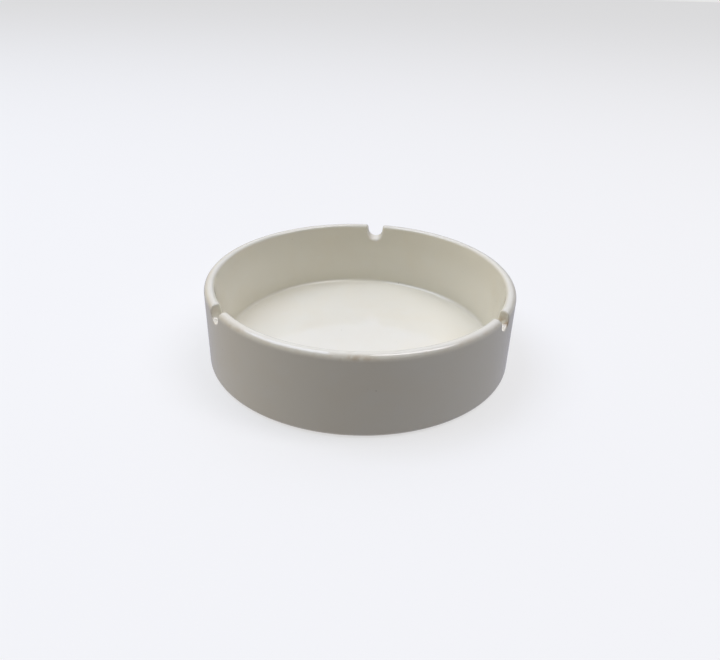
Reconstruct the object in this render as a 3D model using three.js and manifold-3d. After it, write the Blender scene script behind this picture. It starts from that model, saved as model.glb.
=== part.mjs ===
// Round ashtray pressed from one lump of clay and fired once: a flat floor, an almost upright wall with a
// bullnose rim, three U-shaped cigarette rests cut through the rim, and a recessed underside that leaves a
// foot ring. Millimetres, +Z up. The origin is the centre of the plane that the foot ring stands on, and the
// first cigarette rest is on the +Y axis.

import * as THREE from "three";
import { mergeVertices } from "three/addons/utils/BufferGeometryUtils.js";
import Module from "manifold-3d";

// Overall size.
const RIM_RADIUS = 65;
const BASE_RADIUS = 64.6;
const HEIGHT = 35;

// Wall and rim. The inside leans in towards the floor, so that the dish leaves its mould and its wall is
// thickest at the foot.
const WALL_THICKNESS = 4.1;
const INNER_DRAFT = 3.5;
const RIM_OUTER_ROUNDING = 2.5;
const RIM_INNER_ROUNDING = 1.4;

// Floor and underside.
const FLOOR_HEIGHT = 6.4;
const FLOOR_FILLET = 1.5;
const BASE_ROUNDING = 2.2;
const FOOT_RING_INNER_RADIUS = 56.5;
const UNDERSIDE_RECESS = 1.2;
const RECESS_SLOPE_WIDTH = 1.6;
const RECESS_ROUNDING = 0.7;

// Cigarette rests. A bearing is counter-clockwise from +Y, seen from above: the rests are cut by hand and
// aren't quite evenly spaced.
const REST_BEARINGS_DEG = [0, 127.5, 245.8];
const REST_DEPTH = 5.9;
const REST_BOTTOM_RADIUS = 3.5;
const REST_SIDE_DRAFT_DEG = 6;
const REST_FLOOR_SLOPE_DEG = 13;
const REST_CUT_LENGTH = 16;
const REST_CUT_HEADROOM = 6;

// Facets.
const TURN_SEGMENTS = 96;
const ARC_STEP_DEG = 18;
const REST_ARC_SEGMENTS = 12;

// Replaces an outline's corners by tangent arcs. Each corner is { at: [radius, height], rounding }.
function roundedOutline(corners) {
  const points = [];
  corners.forEach(({ at, rounding }, i) => {
    const corner = new THREE.Vector2(...at);
    if (!rounding) {
      points.push(corner);
      return;
    }
    const toPrevious = new THREE.Vector2(...corners[i - 1].at).sub(corner).normalize();
    const toNext = new THREE.Vector2(...corners[i + 1].at).sub(corner).normalize();
    const halfAngle = Math.acos(toPrevious.dot(toNext)) / 2;
    const bisector = toPrevious.clone().add(toNext).normalize();
    const centre = corner.clone().addScaledVector(bisector, rounding / Math.sin(halfAngle));
    const tangentLength = rounding / Math.tan(halfAngle);
    const first = corner.clone().addScaledVector(toPrevious, tangentLength).sub(centre);
    const last = corner.clone().addScaledVector(toNext, tangentLength).sub(centre);
    const turn = Math.atan2(first.cross(last), first.dot(last));
    const steps = Math.max(2, Math.round(Math.abs(THREE.MathUtils.radToDeg(turn)) / ARC_STEP_DEG));
    for (let k = 0; k <= steps; k += 1) {
      points.push(first.clone().rotateAround(new THREE.Vector2(), (turn * k) / steps).add(centre));
    }
  });
  return points;
}

// The half section, from the middle of the underside, round the foot, wall and rim, to the middle of the floor.
function bodyOutline() {
  const rimInnerRadius = RIM_RADIUS - WALL_THICKNESS;
  return roundedOutline([
    { at: [0, UNDERSIDE_RECESS] },
    { at: [FOOT_RING_INNER_RADIUS - RECESS_SLOPE_WIDTH, UNDERSIDE_RECESS], rounding: RECESS_ROUNDING },
    { at: [FOOT_RING_INNER_RADIUS, 0], rounding: RECESS_ROUNDING },
    { at: [BASE_RADIUS, 0], rounding: BASE_ROUNDING },
    { at: [RIM_RADIUS, HEIGHT], rounding: RIM_OUTER_ROUNDING },
    { at: [rimInnerRadius, HEIGHT], rounding: RIM_INNER_ROUNDING },
    { at: [rimInnerRadius - INNER_DRAFT, FLOOR_HEIGHT], rounding: FLOOR_FILLET },
    { at: [0, FLOOR_HEIGHT] },
  ]);
}

// The body before the rests are cut, turned about +Z.
function turnedBody() {
  return new THREE.LatheGeometry(bodyOutline(), TURN_SEGMENTS).rotateX(Math.PI / 2);
}

// The U-shaped section of one cigarette rest: x across the rest, y up from the middle of its bottom arc.
function restSection() {
  const draft = THREE.MathUtils.degToRad(REST_SIDE_DRAFT_DEG);
  const top = REST_DEPTH - REST_BOTTOM_RADIUS + REST_CUT_HEADROOM;
  const topHalfWidth = REST_BOTTOM_RADIUS / Math.cos(draft) + top * Math.tan(draft);
  const section = new THREE.Shape();
  section.absarc(0, 0, REST_BOTTOM_RADIUS, Math.PI + draft, 2 * Math.PI - draft, false);
  section.lineTo(topHalfWidth, top);
  section.lineTo(-topHalfWidth, top);
  section.closePath();
  return section;
}

// The solid that cuts one rest through the wall. It is made on the +Y side, with its floor falling towards the
// middle of the dish and at the stated depth on the outer face, and is then turned to its bearing.
function restCutter(bearingDeg) {
  const cutter = new THREE.ExtrudeGeometry(restSection(), {
    depth: REST_CUT_LENGTH,
    bevelEnabled: false,
    curveSegments: REST_ARC_SEGMENTS,
  });
  return cutter
    .rotateX(Math.PI / 2)
    .translate(0, REST_CUT_LENGTH / 2, 0)
    .rotateX(THREE.MathUtils.degToRad(REST_FLOOR_SLOPE_DEG))
    .translate(0, RIM_RADIUS, HEIGHT - REST_DEPTH + REST_BOTTOM_RADIUS)
    .rotateZ(THREE.MathUtils.degToRad(bearingDeg));
}

const wasm = await Module();
wasm.setup();

// A closed geometry as a solid, with its shared vertices merged and its empty triangles dropped.
function solidFrom(geometry) {
  const bare = geometry.clone();
  bare.deleteAttribute("normal");
  bare.deleteAttribute("uv");
  const merged = mergeVertices(bare);
  const index = merged.index.array;
  const triVerts = [];
  for (let i = 0; i < index.length; i += 3) {
    const [a, b, c] = [index[i], index[i + 1], index[i + 2]];
    if (a !== b && b !== c && c !== a) triVerts.push(a, b, c);
  }
  return new wasm.Manifold(
    new wasm.Mesh({
      numProp: 3,
      vertProperties: merged.attributes.position.array,
      triVerts: new Uint32Array(triVerts),
    }),
  );
}

function geometryFrom(solid) {
  const { vertProperties, triVerts } = solid.getMesh();
  const geometry = new THREE.BufferGeometry();
  geometry.setAttribute("position", new THREE.BufferAttribute(vertProperties, 3));
  geometry.setIndex(new THREE.BufferAttribute(triVerts, 1));
  geometry.computeVertexNormals();
  return geometry;
}

function ashtrayDish() {
  const body = REST_BEARINGS_DEG.reduce(
    (solid, bearing) => solid.subtract(solidFrom(restCutter(bearing))),
    solidFrom(turnedBody()),
  );
  const glaze = new THREE.MeshStandardMaterial({ color: 0xe9e6de, roughness: 0.12, metalness: 0 });
  const mesh = new THREE.Mesh(geometryFrom(body), glaze);
  mesh.name = "ashtray_dish";
  return mesh;
}

const ashtray = new THREE.Group();
ashtray.add(ashtrayDish());

export default ashtray;
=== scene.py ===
"""A white glazed ashtray with three cigarette rests, on a pale floor under two soft overhead lights.

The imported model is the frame. Its one node is replaced by a finely meshed dish of the same size, whose rests
have the soft edges that glaze leaves, and which is as slightly uneven as hand-finished ware. Lengths are in
metres.
"""

import math

import bpy
import numpy as np
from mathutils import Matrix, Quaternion, Vector


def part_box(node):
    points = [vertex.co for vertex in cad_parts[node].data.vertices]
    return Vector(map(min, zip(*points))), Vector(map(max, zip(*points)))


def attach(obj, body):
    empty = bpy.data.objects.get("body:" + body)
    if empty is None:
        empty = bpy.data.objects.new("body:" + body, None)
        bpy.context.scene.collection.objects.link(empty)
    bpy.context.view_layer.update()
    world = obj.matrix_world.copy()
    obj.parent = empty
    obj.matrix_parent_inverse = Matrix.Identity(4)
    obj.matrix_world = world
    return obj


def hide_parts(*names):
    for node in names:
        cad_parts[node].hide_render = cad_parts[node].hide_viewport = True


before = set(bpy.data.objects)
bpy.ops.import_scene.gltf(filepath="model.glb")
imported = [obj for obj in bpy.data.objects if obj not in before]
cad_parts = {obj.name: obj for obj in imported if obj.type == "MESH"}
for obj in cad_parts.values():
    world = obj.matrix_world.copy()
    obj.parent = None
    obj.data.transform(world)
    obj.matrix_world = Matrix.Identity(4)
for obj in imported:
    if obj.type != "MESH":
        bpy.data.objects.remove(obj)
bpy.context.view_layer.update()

MM = 0.001
TURN = 2 * math.pi
NODE = "ashtray_dish"

# The dish. Its overall size is read from the frame, which it stays inside by a hair, and its details repeat
# the CAD's. A lean is how far a wall moves outwards per unit of height.
node_low, node_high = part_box(NODE)
CLEARANCE = 0.01 * MM
RIM_OUTER_ROUNDING = 2.5 * MM
RIM_INNER_ROUNDING = 1.4 * MM
OUTER_LEAN = 0.4 / 35
HEIGHT = node_high.z - CLEARANCE
RIM_RADIUS = 0.5 * (node_high.x - node_low.x) + RIM_OUTER_ROUNDING * OUTER_LEAN - CLEARANCE
BASE_RADIUS = RIM_RADIUS - HEIGHT * OUTER_LEAN
WALL_THICKNESS = 4.1 * MM
INNER_DRAFT = 3.5 * MM
FLOOR_HEIGHT = 6.4 * MM
FLOOR_FILLET = 1.5 * MM
BASE_ROUNDING = 2.2 * MM
FOOT_RING_INNER_RADIUS = 56.5 * MM
UNDERSIDE_RECESS = 1.2 * MM
RECESS_SLOPE_WIDTH = 1.6 * MM
RECESS_ROUNDING = 0.7 * MM
RIM_INNER_RADIUS = RIM_RADIUS - WALL_THICKNESS
FLOOR_RADIUS = RIM_INNER_RADIUS - INNER_DRAFT
INNER_LEAN = INNER_DRAFT / (HEIGHT - FLOOR_HEIGHT)

# Cigarette rests: the bearing of each, in degrees counter-clockwise from +Y seen from above, and the rounding
# of its edges.
RESTS = [(0, 1.0 * MM), (127.5, 0.6 * MM), (245.8, 0.6 * MM)]
REST_BEARINGS = [bearing for bearing, _ in RESTS]
REST_DEPTH = 5.9 * MM
REST_BOTTOM_RADIUS = 3.5 * MM
REST_SIDE_DRAFT = math.radians(6)
REST_FLOOR_SLOPE = math.radians(13)
REST_CENTRE_HEIGHT = HEIGHT - REST_DEPTH + REST_BOTTOM_RADIUS

# The roundings again, by the rest's angle from +X, for the mesh's columns.
EDGE_ROUNDING = {math.radians(90 + bearing) % TURN: rounding for bearing, rounding in RESTS}

# How far out of true the dish is. A ripple is waves round the dish, half turns from foot to rim, and phase.
OVALITY = 0.12 * MM
RIM_SAG = 0.10 * MM
RIPPLE_DEPTH = 0.05 * MM
RIPPLES = [(5, 1.9, 0.4), (9, -2.7, 2.1), (14, 3.3, 4.4), (21, -4.1, 5.2)]

# The mesh. The band is the part of the wall that the rests cut through. A zone is the stretch of columns that
# belongs to one rest, and a shoulder the strip beside a rest's edge, where the columns are closest. Low on
# the dish the columns are evenly spaced, and high on it they follow the rests.
BAND_LOW = 17 * MM
BAND_STEPS = 14
ZONE_HALF_WIDTH = 12 * MM
REST_SHOULDER = 1.0 * MM
PLAIN_STEP = math.radians(1.25)
EVEN_BELOW = 10.2 * MM
ALIGNED_ABOVE = 25 * MM

# Ash stains on the rim's outer edge: bearing, strength and half width, with both angles in degrees.
RIM_STAINS = [(185, 0.30, 4), (180, 0.12, 16), (141, 0.14, 5)]
REST_STAIN_BEARING = REST_BEARINGS[2] + 2.5


# --------------------------------------------------------------------------------- distances to the surface

def outer_radius(height):
    """Radius of the outer wall at a height, before its edges are rounded."""
    return RIM_RADIUS - OUTER_LEAN * (HEIGHT - height)


def inner_radius(height):
    """Radius of the inner wall at a height, before its edges are rounded."""
    return RIM_INNER_RADIUS - INNER_LEAN * (HEIGHT - height)


def rounded_corner(a, b, rounding):
    """Distance to the corner where two faces meet, rounded. a and b are the distances outside each face."""
    outside = np.hypot(np.maximum(a + rounding, 0), np.maximum(b + rounding, 0))
    return np.minimum(np.maximum(a, b) + rounding, 0) + outside - rounding


def wall_distance(radius, height):
    """Distance outside the wall's section near the rim."""
    outer = (radius - outer_radius(height)) * math.cos(math.atan(OUTER_LEAN))
    inner = (inner_radius(height) - radius) * math.cos(math.atan(INNER_LEAN))
    above_rim = height - HEIGHT
    outer_edge = rounded_corner(outer, above_rim, RIM_OUTER_ROUNDING)
    inner_edge = rounded_corner(inner, above_rim, RIM_INNER_ROUNDING)
    return np.maximum(outer_edge, inner_edge)


def rest_distance(points):
    """Distance inside the U-shaped channel of a rest that is on +Y. The last axis of points is x, y, z."""
    across, along, height = points[..., 0], points[..., 1], points[..., 2]
    drop = (RIM_RADIUS - along) * math.tan(REST_FLOOR_SLOPE)
    up = height - REST_CENTRE_HEIGHT + drop
    side = np.abs(across)
    to_side = side * math.cos(REST_SIDE_DRAFT) - up * math.sin(REST_SIDE_DRAFT)
    tangent_height = -side * math.tan(REST_SIDE_DRAFT)
    return REST_BOTTOM_RADIUS - np.where(up > tangent_height, to_side, np.hypot(side, up))


def rim_distance(points, edge_rounding):
    """Distance outside the wall with one rest cut through it on +Y. The last axis of points is x, y, z."""
    wall = wall_distance(np.hypot(points[..., 0], points[..., 1]), points[..., 2])
    return rounded_corner(wall, rest_distance(points), edge_rounding)


def gradient(points, edge_rounding, step=0.01 * MM):
    """Slope of rim_distance along each axis."""
    slope = np.empty_like(points)
    for axis in range(3):
        offset = np.zeros(3)
        offset[axis] = step
        rise = rim_distance(points + offset, edge_rounding) - rim_distance(points - offset, edge_rounding)
        slope[..., axis] = rise / (2 * step)
    return slope


def onto_surface(points, edge_rounding, steps, least_slope=0.5):
    """Moves points down the distance's slope onto the surface. A fainter slope counts as least_slope."""
    for _ in range(steps):
        slope = gradient(points, edge_rounding)
        steepness = np.maximum((slope * slope).sum(-1), least_slope ** 2)
        points = points - slope * (rim_distance(points, edge_rounding) / steepness)[..., None]
    return points


# ----------------------------------------------------------------------------------------- the half section

def spread(start, end, steps, power=1.0):
    """Numbers after start and up to end. They crowd towards the end where the power is below 1."""
    return [start + (end - start) * (k / steps) ** power for k in range(1, steps + 1)]


def line(start, end, steps, power=1.0):
    """Points after start and up to end, spaced as the numbers of spread are."""
    return list(zip(*(spread(a, b, steps, power) for a, b in zip(start, end))))


def fillet(previous, corner, following, rounding, steps):
    """Points on the arc of that rounding that replaces a corner of the half section."""
    previous, corner, following = (np.array(p, float) for p in (previous, corner, following))
    to_previous = (previous - corner) / np.linalg.norm(previous - corner)
    to_following = (following - corner) / np.linalg.norm(following - corner)
    half = math.acos(float(to_previous @ to_following)) / 2
    middle = (to_previous + to_following) / np.linalg.norm(to_previous + to_following)
    centre = corner + middle * rounding / math.sin(half)
    first = corner + to_previous * rounding / math.tan(half) - centre
    last = corner + to_following * rounding / math.tan(half) - centre
    start = math.atan2(first[1], first[0])
    turn = math.atan2(first[0] * last[1] - first[1] * last[0], float(first @ last))
    angles = start + turn * np.linspace(0, 1, steps + 1)
    return [(centre[0] + rounding * math.cos(a), centre[1] + rounding * math.sin(a)) for a in angles]


def on_outer_wall(height):
    return (outer_radius(height), height)


def on_inner_wall(height):
    return (inner_radius(height), height)


def lower_outside():
    """From the middle of the underside, over the foot ring, to the band's lower end on the outer wall."""
    middle = (0.0, UNDERSIDE_RECESS)
    recess = (FOOT_RING_INNER_RADIUS - RECESS_SLOPE_WIDTH, UNDERSIDE_RECESS)
    ring = (FOOT_RING_INNER_RADIUS, 0)
    base = (BASE_RADIUS, 0)
    recess_arc = fillet(middle, recess, ring, RECESS_ROUNDING, steps=5)
    ring_arc = fillet(recess, ring, base, RECESS_ROUNDING, steps=5)
    base_arc = fillet(ring, base, on_outer_wall(HEIGHT), BASE_ROUNDING, steps=10)
    points = [middle]
    points += line(middle, recess_arc[0], steps=14, power=0.8)
    points += recess_arc[1:]
    points += ring_arc
    points += line(ring_arc[-1], base_arc[0], steps=5)
    points += base_arc[1:]
    points += line(base_arc[-1], on_outer_wall(BAND_LOW), steps=9)
    return points


def lower_inside():
    """From the band's lower end on the inner wall, down to the floor and in to its middle."""
    start = on_inner_wall(BAND_LOW)
    centre = (0.0, FLOOR_HEIGHT)
    floor_arc = fillet(start, (FLOOR_RADIUS, FLOOR_HEIGHT), centre, FLOOR_FILLET, steps=12)
    points = [start]
    points += line(start, floor_arc[0], steps=7)
    points += floor_arc[1:]
    points += line(floor_arc[-1], centre, steps=22)
    return points


def band(cap, outer_rounding, inner_rounding):
    """From the outer wall, over a rim at height cap, to the inner wall, without the band's two lower ends."""
    outer_low, inner_low = on_outer_wall(BAND_LOW), on_inner_wall(BAND_LOW)
    outer_top, inner_top = on_outer_wall(cap), on_inner_wall(cap)
    outer_arc = fillet(outer_low, outer_top, inner_top, outer_rounding, steps=10)
    inner_arc = fillet(outer_top, inner_top, inner_low, inner_rounding, steps=8)
    points = line(outer_low, outer_arc[0], BAND_STEPS, power=0.7)
    points += outer_arc[1:]
    points += line(outer_arc[-1], inner_arc[0], steps=6)
    points += inner_arc[1:]
    points += line(inner_low, inner_arc[-1], BAND_STEPS, power=0.7)[-2::-1]
    return points


# ---------------------------------------------------------------------------------------------- the columns

def smooth_step(value):
    """0 below 0, 1 above 1, and smoothly between."""
    value = np.clip(value, 0, 1)
    return value * value * (3 - 2 * value)


def zone_offsets():
    """Sideways offsets of half a zone's columns, from the rest's middle outwards, closest at its edge."""
    draft = REST_SIDE_DRAFT
    bottom = [REST_BOTTOM_RADIUS * math.sin(a) for a in [0] + spread(0, math.pi / 2 - draft, steps=11)]
    rim_half_width = REST_BOTTOM_RADIUS / math.cos(draft) + (HEIGHT - REST_CENTRE_HEIGHT) * math.tan(draft)
    shoulder_end = rim_half_width + REST_SHOULDER
    side = spread(bottom[-1], rim_half_width, steps=5)
    shoulder = spread(rim_half_width, shoulder_end, steps=7)
    flank = spread(shoulder_end, ZONE_HALF_WIDTH, steps=8, power=1.35)
    return bottom + side + shoulder + flank


def rest_cap(offset):
    """Height of the wall's top, on its outer face, at a sideways offset from a rest's middle."""
    side = abs(offset)
    if side < REST_BOTTOM_RADIUS * math.cos(REST_SIDE_DRAFT):
        return REST_CENTRE_HEIGHT - math.sqrt(REST_BOTTOM_RADIUS ** 2 - side ** 2)
    rise = (side - REST_BOTTOM_RADIUS / math.cos(REST_SIDE_DRAFT)) / math.tan(REST_SIDE_DRAFT)
    return min(HEIGHT, REST_CENTRE_HEIGHT + rise)


def columns():
    """The columns round the dish: for each, its angle and, in a zone, the rest's angle and its offset."""
    half = zone_offsets()
    offsets = [-o for o in half[:0:-1]] + half
    zone_angle = math.asin(ZONE_HALF_WIDTH / RIM_RADIUS)
    rests = sorted(EDGE_ROUNDING)
    found = []
    for rest, following in zip(rests, rests[1:] + [rests[0] + TURN]):
        found += [(rest + math.asin(o / RIM_RADIUS), rest, o) for o in offsets]
        gap_start, gap_end = rest + zone_angle, following - zone_angle
        count = round((gap_end - gap_start) / PLAIN_STEP)
        found += [(angle, None, None) for angle in spread(gap_start, gap_end, count)[:-1]]
    return found


def relaxed(angles, passes=40):
    """The columns' angles evened out, for the parts of the dish away from the rests."""
    even = angles.copy()
    for _ in range(passes):
        before = np.roll(even, 1)
        before[0] -= TURN
        after = np.roll(even, -1)
        after[-1] += TURN
        even = 0.5 * even + 0.25 * (before + after)
    return even


def cut_section(section, band_rows, rest, offset):
    """The half section at a sideways offset from a rest's middle, where the rest lowers the band's top."""
    cap = rest_cap(offset)
    cut = smooth_step((HEIGHT - cap) / (0.5 * REST_DEPTH))
    outer_rounding = RIM_OUTER_ROUNDING + (EDGE_ROUNDING[rest] - RIM_OUTER_ROUNDING) * cut
    inner_rounding = RIM_INNER_ROUNDING + (EDGE_ROUNDING[rest] - RIM_INNER_ROUNDING) * cut
    rows = section.copy()
    rows[band_rows] = band(cap, outer_rounding, inner_rounding)
    return rows


def aligned_angles(angle, rest, offset, radius):
    """Angles of a column's points in a zone. The nearer to the rest, the more the column runs along it."""
    along_rest = rest + np.arcsin(offset / np.maximum(radius, 0.5 * RIM_RADIUS))
    near = 1 - smooth_step(abs(offset) / ZONE_HALF_WIDTH)
    return angle + near * (along_rest - angle)


def dish_grid(cols):
    """The dish's surface as a grid of points, [column, row, xyz], and which of its rows are the band."""
    below, above = lower_outside(), lower_inside()
    plain = band(HEIGHT, RIM_OUTER_ROUNDING, RIM_INNER_ROUNDING)
    section = np.array(below + plain + above)
    band_rows = slice(len(below), len(below) + len(plain))
    even_angles = relaxed(np.array([angle for angle, _, _ in cols]))
    grid = np.empty((len(cols), len(section), 3))
    for k, (angle, rest, offset) in enumerate(cols):
        in_zone = rest is not None
        rows = cut_section(section, band_rows, rest, offset) if in_zone else section
        radius, height = rows.T
        angles = aligned_angles(angle, rest, offset, radius) if in_zone else angle
        raised = smooth_step((height - EVEN_BELOW) / (ALIGNED_ABOVE - EVEN_BELOW))
        angles = even_angles[k] + raised * (angles - even_angles[k])
        grid[k] = np.stack([radius * np.cos(angles), radius * np.sin(angles), height], 1)
    return grid, band_rows


# ------------------------------------------------------------------------------------------------- the mesh

def about_z(points, angle):
    """Points turned about +Z, counter-clockwise seen from above."""
    c, s = math.cos(angle), math.sin(angle)
    x, y = points[..., 0], points[..., 1]
    return np.stack([c * x - s * y, s * x + c * y, points[..., 2]], -1)


def soften_rests(cols, grid, band_rows, passes=30):
    """Moves the grid's points near each rest onto the rest's rounded surface, and evens their spacing."""
    patch_rows = slice(band_rows.start - 1, band_rows.stop + 1)
    for rest, edge_rounding in EDGE_ROUNDING.items():
        members = [k for k, column in enumerate(cols) if column[1] == rest]
        patch = about_z(grid[members, patch_rows], math.pi / 2 - rest)
        patch = onto_surface(patch, edge_rounding, steps=8)
        for _ in range(passes):
            around = patch[:-2, 1:-1] + patch[2:, 1:-1] + patch[1:-1, :-2] + patch[1:-1, 2:]
            evened = patch.copy()
            evened[1:-1, 1:-1] = 0.5 * patch[1:-1, 1:-1] + 0.5 * around / 4
            patch = onto_surface(evened, edge_rounding, steps=3)
        grid[members, patch_rows] = about_z(patch, rest - math.pi / 2)


def warped(points):
    """The dish as it came out of the kiln: a touch oval, its rim not quite level, its walls faintly wavy."""
    angle = np.arctan2(points[:, 1], points[:, 0])
    height = points[:, 2] / HEIGHT
    oval = OVALITY * height * (0.5 + 0.5 * np.cos(2 * angle - 0.7))
    ripple = sum(np.sin(waves * angle + tilt * math.pi * height + phase)
                 for waves, tilt, phase in RIPPLES)
    inward = oval + RIPPLE_DEPTH * height * (0.5 + 0.5 * ripple / len(RIPPLES))
    sag = RIM_SAG * height * (0.5 + 0.5 * np.cos(2 * angle + 1.1))
    moved = points.copy()
    moved[:, :2] *= (1 - inward / RIM_RADIUS)[:, None]
    moved[:, 2] -= sag
    return moved


def dish_faces(column_count, ring_count):
    """Quads between neighbouring columns, and triangles at the two middles, which are the last two points."""
    underside_middle = column_count * ring_count
    floor_middle = underside_middle + 1
    faces = []
    for k in range(column_count):
        here, after = k * ring_count, ((k + 1) % column_count) * ring_count
        faces.append((underside_middle, here, after))
        faces += [(here + j, here + j + 1, after + j + 1, after + j) for j in range(ring_count - 1)]
        faces.append((floor_middle, after + ring_count - 1, here + ring_count - 1))
    return faces


def dish_mesh():
    """The dish, with the state of its glaze painted on its points."""
    cols = columns()
    grid, band_rows = dish_grid(cols)
    soften_rests(cols, grid, band_rows)
    rings = grid[:, 1:-1]
    vertices = np.concatenate([rings.reshape(-1, 3), [grid[0, 0]], [grid[0, -1]]])
    faces = dish_faces(*rings.shape[:2])
    mesh = bpy.data.meshes.new("dish")
    mesh.from_pydata(warped(vertices).tolist(), [], faces)
    mesh.polygons.foreach_set("use_smooth", [True] * len(faces))
    for finish in (thin_glaze, stains, pooled_glaze, bare_clay):
        mesh.attributes.new(finish.__name__, "FLOAT", "POINT").data.foreach_set("value", finish(vertices))
    mesh.update()
    return mesh


# ----------------------------------------------------------------------------------- the state of the glaze

def bump_at(value, middle, width):
    """A smooth hump, 1 at the middle and near 0 beyond twice the width."""
    return np.exp(-((value - middle) / width) ** 2)


def bearing_gap(points, bearing):
    """Angle, either way round, between each point and a bearing that is counter-clockwise from +Y."""
    angle = np.arctan2(points[:, 1], points[:, 0]) - math.radians(90 + bearing)
    return np.abs((angle + math.pi) % TURN - math.pi)


def radius_and_height(points):
    return np.hypot(points[:, 0], points[:, 1]), points[:, 2]


def thin_glaze(points):
    """Where the glaze has run thin, 0 to 1: the rim's outer shoulder, the rests' edges and the foot."""
    radius, height = radius_and_height(points)
    shoulder = bump_at(height, HEIGHT - 0.8 * MM, 0.9 * MM)
    shoulder *= bump_at(radius, RIM_RADIUS - 0.4 * MM, 1.2 * MM)
    foot = bump_at(height, 1.2 * MM, 0.9 * MM) * (radius > FOOT_RING_INNER_RADIUS)
    rests = np.zeros(len(points))
    for bearing in REST_BEARINGS:
        turned = about_z(points, -math.radians(bearing))
        on_rest_side = turned[:, 1] > RIM_INNER_RADIUS - 2 * MM
        rests = np.maximum(rests, bump_at(rest_distance(turned), 0, 0.8 * MM) * on_rest_side)
    return np.maximum.reduce([0.5 * shoulder, 0.4 * foot, 0.35 * rests])


def stains(points):
    """Where years of ash have tinted the glaze, 0 to 1: the rim's outer edge in two places, and one rest."""
    height = points[:, 2]
    on_edge = bump_at(height, HEIGHT - 1.2 * MM, 0.9 * MM)
    along_rim = sum(strength * bump_at(bearing_gap(points, bearing), 0, math.radians(half_width))
                    for bearing, strength, half_width in RIM_STAINS)
    in_rest = bump_at(bearing_gap(points, REST_STAIN_BEARING), 0, math.radians(1.2))
    in_rest *= bump_at(height, HEIGHT - 4 * MM, 1.5 * MM)
    return on_edge * along_rim + 0.8 * in_rest


def pooled_glaze(points):
    """Where the glaze has pooled, 0 to 1: the fillet between the floor and the wall."""
    radius, height = radius_and_height(points)
    inset = 1.2 * MM
    from_corner = np.hypot(radius - FLOOR_RADIUS + inset, height - FLOOR_HEIGHT - inset)
    return bump_at(from_corner, 0, 3.0 * MM)


def bare_clay(points):
    """Where the foot ring was wiped clean of glaze, so that it didn't stick to the kiln's shelf, 0 to 1."""
    radius, height = radius_and_height(points)
    on_ring = smooth_step((radius - FOOT_RING_INNER_RADIUS + 0.2 * MM) / (0.6 * MM))
    return on_ring * smooth_step((0.9 * MM - height) / (0.5 * MM))


# --------------------------------------------------------------------------------------------- shader nodes

class Nodes:
    """Adds nodes to a tree. A socket takes a plain value or another node's output."""

    def __init__(self, tree):
        self.tree = tree

    def add(self, kind, sockets=None, output=0, **settings):
        node = self.tree.nodes.new(kind)
        for name, value in settings.items():
            setattr(node, name, value)
        for socket, value in (sockets or {}).items():
            self.set(node.inputs[socket], value)
        return node.outputs[output]

    def set(self, socket, value):
        if isinstance(value, bpy.types.NodeSocket):
            self.tree.links.new(value, socket)
        else:
            socket.default_value = value

    def math(self, operation, *values):
        return self.add("ShaderNodeMath", dict(enumerate(values)), operation=operation)

    def product(self, first, second):
        return self.math("MULTIPLY", first, second)

    def total(self, first, second):
        return self.math("ADD", first, second)

    def ramp(self, value, low, high):
        """0 where the value is at most low and 1 where it is at least high, smoothly between."""
        sockets = {"Value": value, "From Min": low, "From Max": high}
        return self.add("ShaderNodeMapRange", sockets, interpolation_type="SMOOTHSTEP")

    def mix(self, amount, first, second, blend="MIX"):
        """The first colour, moved towards the second by the amount, or with that much of the second added."""
        sockets = {0: amount, 6: first, 7: second}
        return self.add("ShaderNodeMix", sockets, output=2, data_type="RGBA", blend_type=blend)

    def noise(self, where, per_metre, detail, distortion=0.0):
        sockets = {"Vector": where, "Scale": per_metre, "Detail": detail, "Distortion": distortion}
        return self.add("ShaderNodeTexNoise", sockets)

    def painted(self, name):
        """A number that the mesh carries at each point."""
        return self.add("ShaderNodeAttribute", output=2, attribute_name=name)


# ------------------------------------------------------------------------------------------------ materials

GLAZE = (0.83, 0.80, 0.677, 1)
GLAZE_WARM = (0.825, 0.785, 0.65, 1)
GLAZE_COOL = (0.832, 0.81, 0.702, 1)
GLAZE_POOLED = (0.81, 0.78, 0.642, 1)
CLAY_SHOWING = (0.70, 0.56, 0.38, 1)
ASH_STAIN = (0.42, 0.27, 0.12, 1)
IRON_SPECK = (0.20, 0.13, 0.07, 1)
BARE_CLAY = (0.60, 0.50, 0.37, 1)
BARE_CLAY_DARK = (0.47, 0.37, 0.26, 1)

GLAZE_IOR = 1.6
GLAZE_ROUGHNESS = 0.02
CLOUD_ROUGHNESS = 0.04
STAIN_ROUGHNESS = 0.15
CLAY_ROUGHNESS = 0.7
RELIEF_HEIGHT = 0.03 * MM


def specks(nodes, where, per_metre, radius, share):
    """Round specks, 0 to 1. The share of cells of that density have one; the radius is in cells."""
    sockets = {"Vector": where, "Scale": per_metre}
    distance = nodes.add("ShaderNodeTexVoronoi", sockets)
    chance = nodes.add("ShaderNodeSeparateColor", {0: nodes.add("ShaderNodeTexVoronoi", sockets, output=1)})
    present = nodes.math("LESS_THAN", chance, share)
    return nodes.product(nodes.ramp(distance, radius, 0.5 * radius), present)


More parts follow.
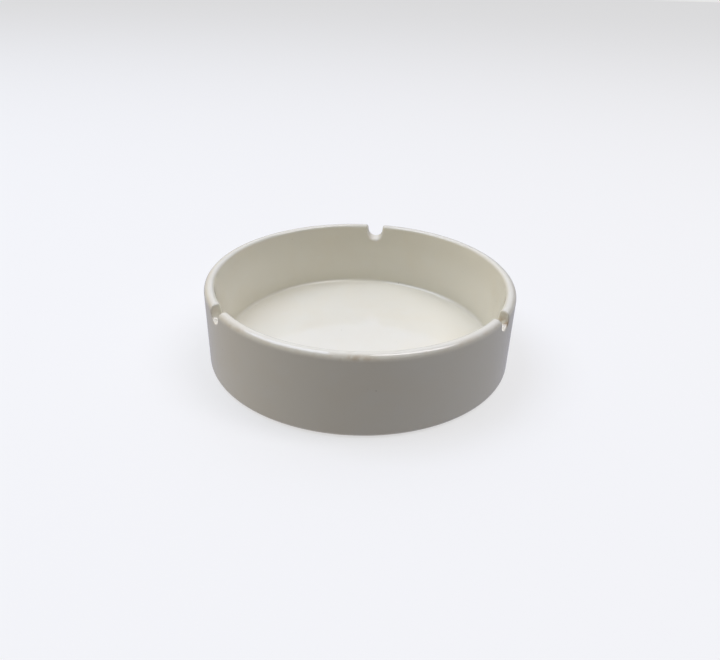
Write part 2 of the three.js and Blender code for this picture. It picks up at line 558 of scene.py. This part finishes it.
def glaze_colour(nodes, where, clouds, pinholes):
    """Cream white in faint clouds, warmer where it pooled or ran thin, with ash stains and iron specks."""
    streaks = nodes.noise(where, per_metre=120, detail=2.0)
    colour = nodes.mix(nodes.ramp(clouds, 0.42, 0.72), GLAZE, GLAZE_WARM)
    colour = nodes.mix(nodes.product(nodes.ramp(streaks, 0.5, 0.8), 0.5), colour, GLAZE_COOL)
    colour = nodes.mix(nodes.product(nodes.painted("pooled_glaze"), 0.7), colour, GLAZE_POOLED)

    patchy = nodes.ramp(nodes.noise(where, per_metre=210, detail=3.0), 0.38, 0.68)
    thin = nodes.product(nodes.painted("thin_glaze"), nodes.product(patchy, 0.5))
    colour = nodes.mix(thin, colour, CLAY_SHOWING)
    blotchy = nodes.ramp(nodes.noise(where, per_metre=420, detail=4.0), 0.35, 0.65)
    colour = nodes.mix(nodes.product(nodes.painted("stains"), blotchy), colour, ASH_STAIN)

    iron = specks(nodes, where, per_metre=230, radius=0.055, share=0.10)
    colour = nodes.mix(nodes.product(iron, 0.75), colour, IRON_SPECK)
    return nodes.mix(nodes.product(pinholes, 0.45), colour, IRON_SPECK)


def glaze_roughness(nodes, clouds, bare):
    """Smooth as glass, a little less so in the clouds and the stains, and dull where the clay is bare."""
    roughness = nodes.total(nodes.product(clouds, CLOUD_ROUGHNESS), GLAZE_ROUGHNESS)
    roughness = nodes.total(roughness, nodes.product(nodes.painted("stains"), STAIN_ROUGHNESS))
    return nodes.total(roughness, nodes.product(bare, CLAY_ROUGHNESS))


def glaze_relief(nodes, where, grain, bare, pinholes):
    """The glaze's slow waviness and orange peel, its pinholes, and the bare clay's grain."""
    waves = nodes.noise(where, per_metre=110, detail=1.0)
    peel = nodes.product(nodes.noise(where, per_metre=520, detail=2.0), 0.10)
    rough = nodes.product(nodes.product(grain, bare), 0.9)
    height = nodes.total(nodes.total(waves, peel), rough)
    height = nodes.math("SUBTRACT", height, nodes.product(pinholes, 0.6))
    return nodes.add("ShaderNodeBump", {"Strength": 1.0, "Distance": RELIEF_HEIGHT, "Height": height})


def glaze_material():
    """A cream-white gloss glaze over buff clay, with the faults and wear that such ware has."""
    material = bpy.data.materials.new("white_glaze")
    material.use_nodes = True
    nodes = Nodes(material.node_tree)
    shader = material.node_tree.nodes["Principled BSDF"]
    where = nodes.add("ShaderNodeTexCoord", output=3)

    clouds = nodes.noise(where, per_metre=38, detail=3.0, distortion=0.6)
    pinholes = specks(nodes, where, per_metre=480, radius=0.06, share=0.12)
    wavering = nodes.math("SUBTRACT", nodes.noise(where, per_metre=300, detail=3.0), 0.5)
    bare = nodes.ramp(nodes.total(nodes.painted("bare_clay"), nodes.product(wavering, 0.9)), 0.42, 0.58)
    grain = nodes.noise(where, per_metre=2600, detail=4.0)
    clay = nodes.mix(nodes.ramp(grain, 0.35, 0.7), BARE_CLAY, BARE_CLAY_DARK)

    colour = nodes.mix(bare, glaze_colour(nodes, where, clouds, pinholes), clay)
    nodes.set(shader.inputs["Base Color"], colour)
    nodes.set(shader.inputs["Roughness"], glaze_roughness(nodes, clouds, bare))
    nodes.set(shader.inputs["IOR"], GLAZE_IOR)
    nodes.set(shader.inputs["Specular IOR Level"], 0.5)
    nodes.set(shader.inputs["Normal"], glaze_relief(nodes, where, grain, bare, pinholes))
    return material


def floor_material():
    """A pale light table. It glows a little, so that it stays pale away from the softboxes."""
    material = bpy.data.materials.new("pale_floor")
    material.use_nodes = True
    shader = material.node_tree.nodes["Principled BSDF"]
    shader.inputs["Base Color"].default_value = (0.32, 0.32, 0.32, 1)
    shader.inputs["Roughness"].default_value = 0.9
    shader.inputs["Specular IOR Level"].default_value = 0.0
    shader.inputs["Emission Color"].default_value = (1, 1, 1, 1)
    shader.inputs["Emission Strength"].default_value = 0.6
    return material


# ------------------------------------------------------------------------------------------- camera, lights

# The camera stands in front of the dish, turned round it by the azimuth. It looks at the rim's middle, and is
# then tipped down by the dip and rolled by the lean.
CAMERA_AZIMUTH = math.radians(6.3)
CAMERA_ELEVATION = math.radians(24.6)
CAMERA_DIP = math.radians(4.5)
CAMERA_LEAN = math.radians(1.49)
CAMERA_DISTANCE = 289.1 * MM
CAMERA_LENS_MM = 34.2
CAMERA_SENSOR_MM = 36
RIM_MIDDLE = (-0.27 * MM, 0, HEIGHT)

WARMER_LIGHT = (0.97, 0.95, 1.0)
COOLER_LIGHT = (0.74, 0.81, 1.0)
BLACK = (0, 0, 0, 1)
SWEEP_LIGHT = (2.8, 2.9, 3.5, 1)
WALL_LIGHT = (0.66, 0.50, 0.20, 1)
TABLE_LIGHT = (0.42, 0.42, 0.47, 1)
BACKDROP = (0.8, 0.8, 0.8, 1)
FLOOR_WIDTH = 6


def add_camera():
    """Stands a little above the dish and looks down into it, below the middle of the rim, leaning a touch."""
    level = math.cos(CAMERA_ELEVATION)
    away = Vector((math.sin(CAMERA_AZIMUTH) * level, -math.cos(CAMERA_AZIMUTH) * level,
                   math.sin(CAMERA_ELEVATION)))
    data = bpy.data.cameras.new("camera")
    data.lens = CAMERA_LENS_MM
    data.sensor_width = CAMERA_SENSOR_MM
    data.clip_start = 10 * MM
    camera = bpy.data.objects.new("camera", data)
    camera.location = Vector(RIM_MIDDLE) + away * CAMERA_DISTANCE
    facing = (-away).to_track_quat("-Z", "Y")
    facing = facing @ Quaternion((0, 0, 1), CAMERA_LEAN) @ Quaternion((1, 0, 0), -CAMERA_DIP)
    camera.rotation_euler = facing.to_euler()
    bpy.context.scene.collection.objects.link(camera)
    bpy.context.scene.camera = camera


def add_softbox(name, centre, size, power, colour):
    """A flat rectangular light that hangs over the dish and faces straight down."""
    data = bpy.data.lights.new(name, "AREA")
    data.shape = "RECTANGLE"
    data.size, data.size_y = size
    data.energy = power
    data.color = colour
    light = bpy.data.objects.new(name, data)
    light.location = centre
    bpy.context.scene.collection.objects.link(light)


def add_lights():
    """Two softboxes overhead, one to the left and one to the right, with a gap between them."""
    add_softbox("softbox_right", centre=(0.6, 0.0, 1.2), size=(1.0, 0.4), power=7.6, colour=WARMER_LIGHT)
    add_softbox("softbox_left", centre=(-0.71, 0.0, 1.2), size=(1.0, 0.9), power=11.6, colour=COOLER_LIGHT)


def room_light(nodes, x, y, z):
    """A bright sweep high behind the dish, a dimmer warm wall low on its left, nothing on the camera's side,
    and the light that the table sends up. x, y and z are the direction that the light comes from."""
    above = nodes.math("GREATER_THAN", z, 0.0)
    low = nodes.product(above, nodes.math("SUBTRACT", 1.0, nodes.math("ABSOLUTE", z)))
    high = nodes.product(above, nodes.product(z, z))
    behind = nodes.product(nodes.math("MAXIMUM", y, 0.0), high)
    left = nodes.product(nodes.math("MAXIMUM", nodes.product(x, -1.0), 0.0), low)
    glow = nodes.mix(behind, BLACK, SWEEP_LIGHT)
    glow = nodes.mix(left, glow, WALL_LIGHT, blend="ADD")
    return nodes.mix(nodes.math("LESS_THAN", z, 0.0), glow, TABLE_LIGHT)


def add_world():
    """The room lights the dish. The camera sees a plain pale backdrop instead of the room."""
    world = bpy.data.worlds.new("studio")
    bpy.context.scene.world = world
    world.use_nodes = True
    world.node_tree.nodes.clear()
    nodes = Nodes(world.node_tree)
    axes = world.node_tree.nodes.new("ShaderNodeSeparateXYZ")
    nodes.set(axes.inputs[0], nodes.add("ShaderNodeTexCoord", output=0))
    lit = nodes.add("ShaderNodeBackground", {"Color": room_light(nodes, *axes.outputs), "Strength": 1.0})
    backdrop = nodes.add("ShaderNodeBackground", {"Color": BACKDROP, "Strength": 1.0})
    seen = nodes.add("ShaderNodeLightPath", output=0)
    surface = nodes.add("ShaderNodeMixShader", {0: seen, 1: lit, 2: backdrop})
    output = world.node_tree.nodes.new("ShaderNodeOutputWorld")
    nodes.set(output.inputs["Surface"], surface)


def add_floor():
    """A floor that is seen and shadowed. It gives the dish no light: the room's lower half does that."""
    bpy.ops.mesh.primitive_plane_add(size=FLOOR_WIDTH)
    floor = bpy.context.object
    floor.name = "floor"
    floor.visible_diffuse = False
    floor.visible_glossy = False
    floor.visible_shadow = False
    floor.data.materials.append(floor_material())


# ------------------------------------------------------------------------------------------------ the scene

dish = bpy.data.objects.new("dish", dish_mesh())
bpy.context.scene.collection.objects.link(dish)
dish.data.materials.append(glaze_material())
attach(dish, "root")
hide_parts(NODE)

add_floor()
add_lights()
add_world()
add_camera()
bpy.context.scene.view_settings.view_transform = "Standard"
